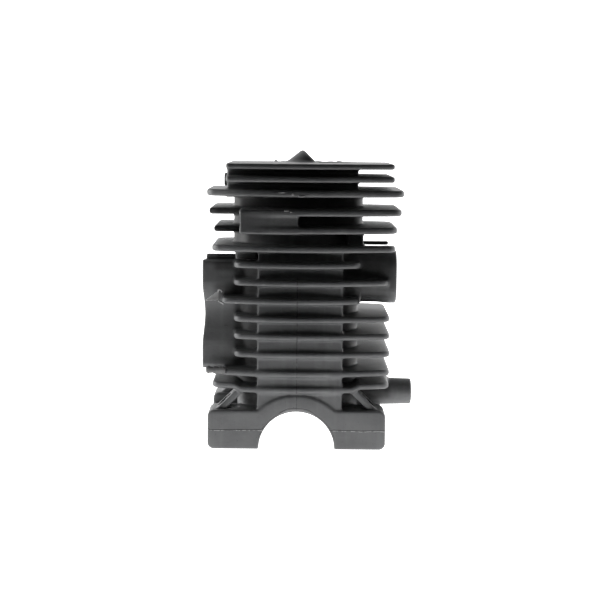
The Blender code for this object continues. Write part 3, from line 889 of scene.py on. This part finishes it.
@dataclass
class FlashTrim:
    """Thin torn flash at fin ends, raised die lines and small lumps, each a grid surface."""

    shift: Vector
    seed: int = 11
    made: list[bpy.types.Object] = field(default_factory=list)

    def sheet(self, name: str, start: Sequence[float], end: Sequence[float], width: Sequence[float],
              thick: float, ragged: float, blunt: float = 14.0, lean: float = 0.0) -> None:
        """Ragged tongue: an oval section carried along a line, its width torn by summed waves.

        Width at a place is the straight change between both end widths times one plus a sum of
        three sines; the section closes to a point at both ends.

        Args:
            name: Name of the piece.
            start: First point of the middle line.
            end: Last point of the middle line.
            width: Half width along Z at the start and at the end.
            thick: Half thickness along Y.
            ragged: Share of the width that is torn.
            blunt: How suddenly the ends close.
            lean: Way back along Y for each step up along Z.
        """
        rng = np.random.default_rng(self.seed + len(self.made))
        u = np.linspace(0.0, 1.0, 48)[:, None]
        v = np.linspace(0.0, math.tau, 16, endpoint=False)[None, :]
        phase = rng.uniform(0.0, math.tau, 3)
        waves = sum(np.sin(u * f + p) / n for n, (f, p) in enumerate(zip((19.0, 43.0, 87.0), phase), 1))
        close = np.clip(np.minimum(u, 1.0 - u) * blunt, 0.0, 1.0) ** 0.5
        half = (width[0] + (width[1] - width[0]) * u) * (1.0 + ragged * waves) * close
        line = np.array(start)[None, :] + u * (np.array(end) - np.array(start))[None, :]
        x = line[:, :1] + 0.0 * v
        y = line[:, 1:2] + np.sin(v) * thick * close + lean * np.cos(v) * half
        z = line[:, 2:3] + np.cos(v) * half
        self.made.append(closed_tube(name, np.stack((x, y, z), -1), self.shift))

    def curl(
        self, name: str, centre: Sequence[float], reach: float, thick: float, turns: Sequence[float]
    ) -> None:
        """Curled sliver: a round section carried along an arc in the XZ plane, thin at both ends.

        Args:
            name: Name of the piece.
            centre: Middle of the arc.
            reach: Radius of the arc.
            thick: Half thickness in the middle of the sliver.
            turns: First and last angle of the arc, in radians from +X.
        """
        u = np.linspace(0.0, 1.0, 24)[:, None]
        v = np.linspace(0.0, math.tau, 10, endpoint=False)[None, :]
        turn = turns[0] + (turns[1] - turns[0]) * u
        half = thick * np.sqrt(np.clip(1.0 - (2.0 * u - 1.0) ** 6, 0.02, 1.0))
        away = reach + half * np.cos(v)
        x = centre[0] + away * np.cos(turn)
        y = centre[1] + half * np.sin(v)
        z = centre[2] + away * np.sin(turn)
        self.made.append(closed_tube(name, np.stack((x, y, z), -1), self.shift))

    def lump(self, name: str, centre: Sequence[float], size: Sequence[float]) -> None:
        """Small lump: a sphere swollen by a product of sines and stretched along the axes."""
        rng = np.random.default_rng(self.seed + len(self.made))
        u = np.linspace(0.0, math.pi, 12)[:, None]
        v = np.linspace(0.0, math.tau, 16, endpoint=False)[None, :]
        a, b = rng.uniform(0.0, math.tau, 2)
        swell = 1.0 + 0.25 * np.sin(3.0 * v + a) * np.sin(2.0 * u + b) * np.sin(u)
        x = centre[0] + size[0] * np.cos(u) * swell
        y = centre[1] + size[1] * np.sin(u) * np.cos(v) * swell
        z = centre[2] + size[2] * np.sin(u) * np.sin(v) * swell
        self.made.append(closed_tube(name, np.stack((x + 0.0 * v, y, z), -1), self.shift))

    def build(self) -> list[bpy.types.Object]:
        """Make every piece of flash."""
        self.sheet(
            "flake_upper", (-42.0, -25.4, 68.4), (-35.9, -25.9, 70.9), (0.2, 2.2), 0.4, 0.05, 30.0, 0.8
        )
        self.curl("flake_hook", (-35.6, -25.8, 72.5), 0.8, 0.32, (3.3, -0.5))
        self.sheet("crack_lip", (-36.4, -25.8, 68.2), (-33.6, -26.8, 67.0), (0.35, 0.5), 0.5, 0.2)
        self.sheet("strip_lower", (-42.2, -24.2, 36.0), (-32.6, -26.0, 35.9), (1.6, 1.7), 1.2, 0.09, 24.0)
        self.sheet("nub_right", (28.2, -27.0, 68.4), (28.9, -26.0, 71.6), (1.0, 1.6), 0.6, 0.1)
        for number, (x, z, size) in enumerate((
            (-7.6, 118.2, (1.5, 0.4, 0.16)), (-2.4, 117.4, (0.6, 0.5, 0.4)), (1.6, 116.6, (1.4, 0.5, 0.3)),
            (-5.2, 110.0, (1.2, 0.5, 0.25)), (-3.2, 109.4, (0.5, 0.5, 0.3)),
        )):
            self.lump(f"burr_{number}", (x, -31.75, z), size)
        for number, (x, y, size) in enumerate((
            (-10.9, 12.0, (0.8, 0.8, 0.9)), (-7.2, 14.0, (1.8, 1.0, 0.45)), (9.6, 16.0, (2.6, 1.2, 0.4)),
            (15.6, 18.0, (2.2, 1.2, 0.35)), (19.8, 18.0, (1.6, 1.0, 0.5)), (23.6, 18.0, (1.8, 1.0, 0.35)),
        )):
            self.lump(f"crest_{number}", (x, y, 131.2), size)
        return self.made


def closed_tube(name: str, grid: Array, shift: Vector) -> bpy.types.Object:
    """Closed object from rings of points, with both end rings capped.

    Args:
        name: Name of the piece.
        grid: Rings by points by coordinates, in millimetres.
        shift: Move to the row's origin, in metres.

    Returns:
        The object.
    """
    rings, count = grid.shape[:2]
    row, col = np.meshgrid(np.arange(rings - 1), np.arange(count), indexing="ij")
    after = (col + 1) % count
    quads = np.stack(
        (row * count + col, row * count + after, (row + 1) * count + after, (row + 1) * count + col), -1
    )
    faces = quads.reshape(-1, 4).tolist()
    faces.append(list(range(count))[::-1])
    faces.append(list(range((rings - 1) * count, rings * count)))
    made = mesh_object(name, grid.reshape(-1, 3), faces, shift)
    turn_out(made)
    return made


def turn_out(made: bpy.types.Object) -> None:
    """Turn a closed mesh the right way out, by the sign of its volume."""
    mesh = made.data
    mesh.calc_loop_triangles()
    points = np.array([v.co for v in mesh.vertices])
    tris = np.array([t.vertices for t in mesh.loop_triangles])
    a, b, c = (points[tris[:, n]] for n in range(3))
    if float(np.einsum("ij,ij->i", a, np.cross(b, c)).sum()) < 0.0:
        mesh.flip_normals()


# ---------------------------------------------------------------- whole object and stage


@dataclass
class Casting:
    """The whole casting: its features, its skin and its finish."""

    shift: Vector

    def build(self) -> bpy.types.Object:
        """Mesh the casting and dress it."""
        makers = (Barrel(), FinStack(), PortBlocks(), CrankBase(), PlugBoss(), BoreCuts())
        features = [item for maker in makers for item in maker.features()]
        features.sort(key=lambda item: item.work is Work.CUT)
        mesher = CastingMesher(step=0.55)
        points, faces = mesher.skin(mesher.distances(features))
        LOG.info("casting skin: %d points, %d faces", len(points), len(faces))
        made = mesh_object("casting_skin", points, faces, self.shift)
        turn_out(made)
        wanted = 185000 / (2.0 * len(faces))
        if wanted < 1.0:
            thin_out(made, wanted)
        made.data.materials.clear()
        made.data.materials.append(CastingFinish().make(self.shift))
        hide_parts("cylinder_casting")
        return made


@dataclass
class Stage:
    """White floor and back, soft lights and the camera."""

    shift: Vector
    distance: float = 628.0
    front: float = -31.0
    height: float = 144.4
    side: float = 1.2
    pitch: float = 6.8
    roll: float = 0.5
    lens: float = 83.4
    tent_front: float = 0.015
    tent_back: float = 0.85
    table_front: float = -0.15
    table_glow: float = 1.6
    floor_front: float = -1.2
    floor_glow: float = 1.15

    def camera(self) -> None:
        """Camera a little above the top fin, looking slightly down."""
        data = bpy.data.cameras.new("camera")
        data.lens = self.lens
        data.sensor_width = 36.0
        data.clip_start = 0.01
        data.clip_end = 20.0
        item = bpy.data.objects.new("camera", data)
        place = Vector((self.side, self.front - self.distance, self.height)) * MM + self.shift
        turn = (
            Matrix.Rotation(math.radians(90.0 - self.pitch), 4, "X")
            @ Matrix.Rotation(math.radians(self.roll), 4, "Z")
        )
        item.matrix_world = Matrix.Translation(place) @ turn
        bpy.context.scene.collection.objects.link(item)
        bpy.context.scene.camera = item

    def light(self, name: str, place: Sequence[float], size: float, power: float) -> None:
        """Soft square light that faces the middle of the cylinder."""
        data = bpy.data.lights.new(name, "AREA")
        data.size = size
        data.energy = power
        item = bpy.data.objects.new(name, data)
        spot = Vector(place)
        item.location = spot
        item.rotation_euler = (Vector((0.0, 0.0, 0.06)) - spot).to_track_quat("-Z", "Y").to_euler()
        bpy.context.scene.collection.objects.link(item)

    def sweep(self, name: str, front: float, drop: float, glow: float) -> bpy.types.Object:
        """Pale paper that curves up into a back wall far behind the object.

        The height is nothing up to the bend and then grows as one less the cosine of a quarter turn.

        Args:
            name: Name of the paper.
            front: Where it starts along Y, in metres.
            drop: How far it lies below the base plane, in metres.
            glow: Strength of its own light.

        Returns:
            The paper.
        """
        u = np.linspace(0.0, 1.0, 60)[:, None]
        v = np.linspace(-3.0, 3.0, 8)[None, :]
        bend = np.clip((u - 0.6) / 0.4, 0.0, 1.0) * math.pi / 2
        y = front + (2.5 - front) * np.minimum(u, 0.6) / 0.6 + np.sin(bend) * 1.0 + 0.0 * v
        z = 2.0 * (1.0 - np.cos(bend)) + 0.0 * v - drop
        points = np.stack((v + 0.0 * u, y, z), -1).reshape(-1, 3)
        row, col = np.meshgrid(np.arange(59), np.arange(7), indexing="ij")
        quads = np.stack((row * 8 + col, row * 8 + col + 1, (row + 1) * 8 + col + 1, (row + 1) * 8 + col), -1)
        mesh = bpy.data.meshes.new(name)
        mesh.from_pydata(points.tolist(), [], quads.reshape(-1, 4).tolist())
        mesh.shade_smooth()
        item = bpy.data.objects.new(name, mesh)
        bpy.context.scene.collection.objects.link(item)
        g = Graph(name + "_paper")
        g.feed("Base Color", grey(0.9))
        g.feed("Roughness", 0.9)
        g.feed("Emission Color", grey(1.0))
        g.feed("Emission Strength", glow)
        mesh.materials.append(g.material)
        return item

    def floor(self) -> None:
        """Lit table under the object, and a wider floor that is seen but gives the metal no light."""
        self.sweep("table", self.table_front, 0.0002, self.table_glow)
        wide = self.sweep("floor", self.floor_front, 0.0008, self.floor_glow)
        wide.visible_diffuse = False
        wide.visible_glossy = False

    def build(self) -> None:
        """Everything round the object."""
        self.camera()
        self.floor()
        self.light("left_box", (-0.85, 0.2, 0.28), 0.6, 5.2)
        self.light("right_box", (0.7, 0.6, 0.3), 0.6, 3.4)
        self.tent()
        bpy.context.scene.view_settings.view_transform = "Standard"

    def tent(self) -> None:
        """White tent that is bright behind, overhead and at the sides, and open toward the front.

        Brightness grows with the backward direction; what shows as plain background is white.
        """
        world = bpy.data.worlds.new("tent")
        world.use_nodes = True
        tree = world.node_tree
        back = tree.nodes["Background"]
        coord = tree.nodes.new("ShaderNodeTexCoord")
        split = tree.nodes.new("ShaderNodeSeparateXYZ")
        tree.links.new(coord.outputs["Generated"], split.inputs[0])
        behind = tree.nodes.new("ShaderNodeMapRange")
        tree.links.new(split.outputs["Y"], behind.inputs[0])
        for slot, value in enumerate((-0.2, 0.6, self.tent_front, self.tent_back), 1):
            behind.inputs[slot].default_value = value
        path = tree.nodes.new("ShaderNodeLightPath")
        shown = tree.nodes.new("ShaderNodeMix")
        tree.links.new(path.outputs["Is Camera Ray"], shown.inputs[0])
        tree.links.new(behind.outputs[0], shown.inputs[2])
        shown.inputs[3].default_value = 1.1
        tree.links.new(shown.outputs[0], back.inputs["Strength"])
        back.inputs["Color"].default_value = grey(1.0)
        bpy.context.scene.world = world


def dress_nodes() -> None:
    """Give the nodes that are shown as they are their own finishes."""
    finishes = {
        "bore_liner": LinerFinish(),
        "sealing_plug": PlainMetalFinish("plug_steel", 0.16, 0.45, 0.5),
    }
    for name, finish in finishes.items():
        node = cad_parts[name]
        node.data.materials.clear()
        node.data.materials.append(finish.make())
        LOG.info("dressed %s", name)


def main() -> None:
    """Build the casting, its flash, the finishes and the stage."""
    logging.basicConfig(level=logging.INFO, format="%(message)s")
    low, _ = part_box("cylinder_casting")
    shift = Vector((low.x - PortBlocks().intake_face * MM, 0.0, low.z))
    casting = Casting(shift).build()
    LOG.info("made %s", casting.name)
    torn = PlainMetalFinish("torn_flash", 0.48, 0.5, 0.3).make()
    dull = PlainMetalFinish("dull_flash", 0.16, 0.6, 0.2).make()
    for piece in FlashTrim(shift).build():
        low_or_top = piece.name.startswith(("strip", "crest", "nub"))
        piece.data.materials.append(dull if low_or_top else torn)
        LOG.info("made %s", piece.name)
    dress_nodes()
    Stage(shift).build()


if __name__ == "__main__":
    main()
